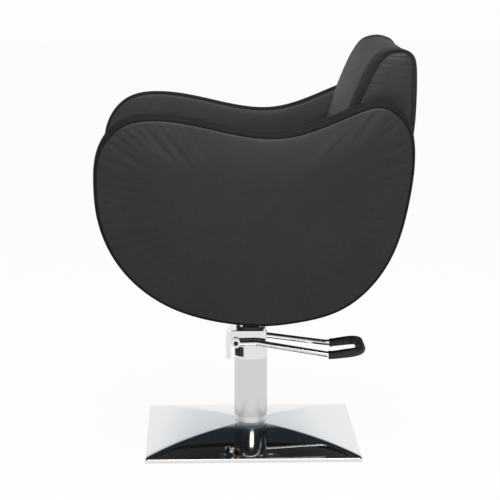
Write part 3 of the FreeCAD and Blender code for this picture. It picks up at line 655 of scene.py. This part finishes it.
def back_band(name):
    """Corner band of the back: a cubic curve from the wide panel's seam round the corner to the side
    panel's seam, ending in a narrow welt."""
    across = np.linspace(0, 1, 19)[None, :]
    inset = side_inset()[:, None]
    a, b, c, d = cubic(across)
    x = (a * (PANEL_HALF + 0.0002) + b * (BACK_HALF - 0.004) + c * (BACK_HALF + 0.0025)
         + d * (BACK_HALF - 0.0025))
    behind = smooth_step(BACK_PROFILE[:, 0], 0.335, 0.358)[:, None]
    lift = a * -0.0008 + b * (0.0030 + 0.0035 * behind) + c * (0.001 + 0.006 * behind) - d * inset
    points = carried(BACK_PROFILE, BACK_OUT, x, lift)
    # drawn in the lighter copy of leatherette_band: painted light on the corner band, whose slot stays
    # leatherette_band
    made = piece(name, points, grid_quads(len(BACK_PROFILE), across.shape[1], False), "painted_light_corner_leatherette")
    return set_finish(made, "leatherette_band")


def back_side(name):
    """Side panel of the back: straight runs from the front seam to the rear seam, rising quickly from
    both by the roll, with puckers near the upper front."""
    inset = side_inset()[:, None]
    seam = BACK_PROFILE - inset * BACK_OUT
    peak = int(np.argmax(seam[:, 1]))
    columns = 200
    up_front, up_rear = seam[:peak + 1], seam[peak:][::-1]
    front = evenly(up_front[up_front[:, 1] > BACK_FOOT], columns)
    rear = evenly(up_rear[up_rear[:, 1] > BACK_FOOT], columns)
    share = 0.5 - 0.5 * np.cos(np.pi * np.linspace(0, 1, 61))
    flat = front[:, None, :] * (1 - share[None, :, None]) + rear[:, None, :] * share[None, :, None]
    depth = np.linalg.norm(flat.reshape(-1, 1, 2) - seam[None, ::3], axis=2).min(1).reshape(flat.shape[:2])
    free = smooth_step(flat[..., 1], 0.78, 0.86)
    rise = (0.0015 + 0.0080 * free) * (1 - np.exp(-depth / 0.014))
    pucker = waves(np.arange(columns) / columns, 0.9, 53, 0.010, 0.04)[:, None]
    rise = rise + 0.0007 * free * pucker * np.exp(-depth / 0.014) * smooth_step(depth, 0, 0.004)
    x = BACK_HALF - 0.0028 + rise
    points = np.concatenate([x[..., None], flat], -1).reshape(-1, 3)
    # drawn in the lighter copy of padded_leatherette: painted light on the side panel, whose slot stays
    # padded_leatherette
    made = piece(name, points, grid_quads(columns, len(share), False), "painted_light_side_leatherette", flip=True)
    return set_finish(made, "padded_leatherette")


left_corner = back_band("left_back_corner_band")
right_corner = mirror_of(left_corner, "right_back_corner_band")
left_side = back_side("left_back_side_panel")
right_side = mirror_of(left_side, "right_back_side_panel")
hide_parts("left_back_side")
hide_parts("right_back_side")

# ---------------------------------------------------------------- seat
SEAT_HALF = 0.2292
SEAT_CROWDING = 1.3
NOSE = [(-0.3035, 0.498), (-0.304, 0.508), (-0.3005, 0.519), (-0.290, 0.5265), (-0.270, 0.530)]
SEAT_PROFILE = spline(NOSE + [(-0.160, 0.534), (0.020, 0.530), (0.160, 0.520), (0.238, 0.515)], 200)
SHELL = spline([(-0.3045, 0.5000), (-0.2965, 0.4781), (-0.1941, 0.3883), (-0.1048, 0.3559), (0.0078, 0.3410),
                (0.0946, 0.3479), (0.1884, 0.3743), (0.2941, 0.4822)], 240)


def seat_panel(name):
    """Seat cushion: its profile from the nose to behind the back, crowned across by 10 mm and tucked down
    at the arms by 24 mm."""
    rows = 97
    x = spread_across(SEAT_HALF, rows, SEAT_CROWDING)
    edge = (SEAT_HALF - np.abs(x))[None, :]
    gone = lengths(SEAT_PROFILE)
    start = gone[:, None]
    tuck = -0.024 * np.exp(-edge / 0.010)
    dome = 0.010 * (1 - (x / SEAT_HALF)[None, :] ** 2) * smooth_step(start, 0.0, 0.12)
    lift = (tuck + dome) * smooth_step(start, -0.02, 0.03)
    points = carried(SEAT_PROFILE, outward(SEAT_PROFILE), x, lift)
    made = piece(name, points, grid_quads(len(SEAT_PROFILE), rows, False), "padded_leatherette")
    ends = np.minimum(start, gone[-1] - start)
    settle(made, held_within(edge, ends, 0.008), 4.0, 0.008)
    return made


def seat_under(name):
    """Cover of the shell below the seat: the shell's line carried across, crowned slightly outwards."""
    rows = 65
    x = spread_across(SEAT_HALF, rows, SEAT_CROWDING)
    edge = (SEAT_HALF - np.abs(x))[None, :]
    gone = lengths(SHELL)
    ends = np.minimum(gone, gone[-1] - gone)[:, None]
    lift = 0.0035 * (1 - np.exp(-edge / 0.012)) * (1 - np.exp(-ends / 0.010)) - 0.002 * np.exp(-ends / 0.002)
    points = carried(SHELL, -outward(SHELL), x, lift)
    return piece(name, points, grid_quads(len(SHELL), rows, False), "leatherette", flip=True)


cushion = seat_panel("seat_cushion_cover")
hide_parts("seat_cushion")
under = seat_under("seat_under_cover")
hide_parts("under_cover")


# ---------------------------------------------------------------- foot
FOOT_HALF = 0.250
FOOT_RIM = 0.0100
FOOT_CROWN = 0.0280
FOOT_BEND = 0.0012       # radius where the top turns down into the rim
FOOT_WALL = 0.0015
TUBE_GAP = 0.0006


def foot_pillow(name):
    """Chromed cover: over a square of half side h its height is rim + crown * (1 - (m / h) ** 2.6), where m
    is a rounded maximum of |x| and |y|; its edge turns down over a small radius and back in underneath."""
    half, rim = FOOT_HALF, FOOT_RIM
    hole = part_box("fixed_tube")[1].x + TUBE_GAP
    count = 72
    side = (np.arange(count) / count) * 2 - 1
    square = np.concatenate([np.stack([np.ones(count), side], -1), np.stack([-side, np.ones(count)], -1),
                             np.stack([-np.ones(count), -side], -1), np.stack([side, -np.ones(count)], -1)])
    turn = np.arctan2(square[:, 1], square[:, 0])
    circle = np.stack([np.cos(turn), np.sin(turn)], -1) * hole
    shares = np.concatenate([np.linspace(0, 0.9, 40), np.linspace(0.92, 1.0, 12)])[:, None, None]
    flat = circle[None] * (1 - shares) + square[None] * (half - FOOT_BEND) * shares
    soft = (np.abs(flat[..., 0]) ** 30 + np.abs(flat[..., 1]) ** 30) ** (1 / 30)
    soft = np.minimum(soft, half)
    z = rim + FOOT_CROWN * (1 - (soft / half) ** 2.6)
    top = np.concatenate([flat, z[..., None]], -1)
    bend = np.linspace(0, np.pi / 2, 6)[1:]
    outer = square / np.abs(square).max(1)[:, None]
    edge = [(half - FOOT_BEND + FOOT_BEND * np.sin(t), rim - FOOT_BEND * (1 - np.cos(t))) for t in bend]
    edge += [(half, 0.0010), (half - FOOT_WALL, 0.0008), (half - FOOT_WALL, 0.0080)]
    rims = [np.concatenate([outer * reach, np.full((len(outer), 1), height)], -1) for reach, height in edge]
    points = np.concatenate([top.reshape(-1, 3)] + rims)
    rows = len(points) // len(square)
    return piece(name, points, grid_quads(rows, len(square), True), "chrome", body="base", flip=True)


PEDAL_SPREAD = 0.066          # from the middle to each straight
PEDAL_BEND = 0.026
PEDAL_REAR = 0.262
PEDAL_START = (0.192, 0.211)  # y and z where the bow leaves the lever's arms
PEDAL_RISE = 0.009 / 0.070
SLEEVE_BORE = 0.0071
TREAD_HALF = 0.049
TREAD_PITCH = 0.0042


def pedal_sleeve(name):
    """Rubber sleeve on the pedal's bow: a ring carried along two straights, two arcs and the cross bar.
    Its radius swells a little to the middle, ends in rounded lips, and has a tread of ridges across the
    upper side of the cross bar."""
    spread, bend = PEDAL_SPREAD, PEDAL_BEND
    y0, y1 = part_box("pedal_rubber")[0].y - 0.001, PEDAL_REAR
    turn = np.linspace(0, np.pi / 2, 40)[1:-1]
    run = np.linspace(y0, y1 - bend, 60)
    start = np.stack([np.full(60, spread), run], -1)
    arc = np.stack([spread - bend + bend * np.cos(turn), y1 - bend + bend * np.sin(turn)], -1)
    bar = np.stack([np.linspace(spread - bend, bend - spread, 170), np.full(170, y1)], -1)
    back = np.stack([-arc[::-1, 0], arc[::-1, 1]], -1)
    end = start[::-1] * np.array([-1, 1])
    path = np.concatenate([start, arc, bar, back, end])
    longer = smooth_step(path[:, 0], 0.0, 0.05) * smooth_step(y1 - path[:, 1], 0.02, 0.067)
    path[:, 1] -= 0.011 * longer
    z = PEDAL_START[1] + (path[:, 1] - PEDAL_START[0]) * PEDAL_RISE
    z = z + 0.0012 * smooth_step(0.20 - path[:, 1], 0.0, 0.02)
    path = np.concatenate([path, z[:, None]], -1)
    way = np.gradient(path, axis=0)
    way /= np.linalg.norm(way, axis=1)[:, None]
    gone = lengths(path)
    up = np.array([0.0, 0.0, 1.0])
    side = np.cross(way, up)
    side /= np.linalg.norm(side, axis=1)[:, None]
    over = np.cross(side, way)
    angle = np.arange(48) / 48 * 2 * np.pi
    ends = np.minimum(gone, gone[-1] - gone)
    radius = 0.0098 + 0.0010 * smooth_step(ends, 0.0, 0.05) + 0.0006 * np.exp(-((ends - 0.003) / 0.0022) ** 2)
    tread = smooth_step(TREAD_HALF - np.abs(path[:, 0]), 0.0, 0.008)[:, None]
    tread = tread * smooth_step(np.sin(angle), -0.2, 0.3)[None]
    ridges = 0.0007 * smooth_step(np.sin(2 * np.pi * path[:, 0] / TREAD_PITCH), -0.2, 0.5)[:, None]
    swell = radius[:, None] + tread * ridges
    ring = (side[:, None] * np.cos(angle)[None, :, None] + over[:, None] * np.sin(angle)[None, :, None])
    points = path[:, None] + ring * swell[..., None]
    bore = path[[0, -1]][:, None] + ring[[0, -1]] * SLEEVE_BORE
    points = np.concatenate([bore[:1], points, bore[1:]]).reshape(-1, 3)
    return piece(name, points, grid_quads(len(path) + 2, 48, True), "rubber", body="lever", flip=True)


pedal = pedal_sleeve("pedal_sleeve")
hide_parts("pedal_rubber")
foot = foot_pillow("foot_cover")
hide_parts("base_cover")


# ---------------------------------------------------------------- stage and light
FLOOR_REACH = 14
FLOOR_GLOW = 0.96        # how far the floor is plain white to the camera and in gloss
SKY_TO_CAMERA = 0.985
SKY_TO_SURFACES = 0.28


def floor_plane():
    """A square floor: grey to the light, and nearly white where it is seen straight or in gloss."""
    far = FLOOR_REACH
    mesh = bpy.data.meshes.new("floor")
    mesh.from_pydata([(-far, -far, 0), (far, -far, 0), (far, far, 0), (-far, far, 0)], [], [(0, 1, 2, 3)])
    made = bpy.data.objects.new("floor", mesh)
    scene.collection.objects.link(made)
    f = new_finish("floor")
    seen = f.node("ShaderNodeLightPath")
    bright = seen.out("Is Camera Ray").maths("MAXIMUM", seen.out("Is Glossy Ray"))
    bright = bright.maths("MAXIMUM", seen.out("Is Transmission Ray"))
    plain = f.node("ShaderNodeBsdfDiffuse", Color=(0.62, 0.62, 0.62, 1)).out()
    glow = f.node("ShaderNodeEmission", Color=(1, 1, 1, 1), Strength=1.0).out()
    both = f.node("ShaderNodeMixShader", **{"0": bright * FLOOR_GLOW, "1": plain, "2": glow})
    f.node("ShaderNodeOutputMaterial", Surface=both.out())
    mesh.materials.append(f.owner)


def studio_world():
    """White round the horizon and for the camera; for gloss it darkens overhead, with the lamps in it."""
    scene.world = bpy.data.worlds.new("studio")
    f = Finish(scene.world)
    seen = f.node("ShaderNodeLightPath")
    camera_ray = seen.out("Is Camera Ray").maths("MAXIMUM", seen.out("Is Transmission Ray"))
    glossy = seen.out("Is Glossy Ray")
    way = f.node("ShaderNodeSeparateXYZ", Vector=f.place("Generated")).out("Z")
    low = 1.0 - way.eased(0.22, 0.36)
    room = low * 0.97 + 0.03
    sideways = f.node("ShaderNodeSeparateXYZ", Vector=f.place("Generated")).out("Y")
    room = room * (1.0 - sideways.maths("ABSOLUTE").eased(0.65, 1.0) * 0.28)
    unseen = glossy * room + (1.0 - glossy) * SKY_TO_SURFACES
    level = camera_ray * SKY_TO_CAMERA + (1.0 - camera_ray) * unseen
    tint = f.mixed(glossy * way.eased(0.2, 0.4), (1, 1, 1, 1), (0.62, 0.84, 1.0, 1))
    back = f.node("ShaderNodeBackground", Color=tint, Strength=level).out()
    f.node("ShaderNodeOutputWorld", Surface=back)


def softbox(name, at, aim, side, watts):
    """A square area lamp at a place, turned to a point."""
    lamp = bpy.data.lights.new(name, "AREA")
    lamp.shape, lamp.size, lamp.size_y, lamp.energy = "RECTANGLE", side, side, watts
    made = bpy.data.objects.new(name, lamp)
    made.location = at
    made.rotation_euler = (Vector(aim) - Vector(at)).to_track_quat("-Z", "Y").to_euler()
    scene.collection.objects.link(made)


floor_plane()
studio_world()
softbox("overhead", (1.0, 0.1, 3.2), (0, 0, 0.6), 2.4, 125.0)
softbox("camera_side", (4.2, 0.5, 2.9), (0, 0, 0.7), 1.6, 45.0)
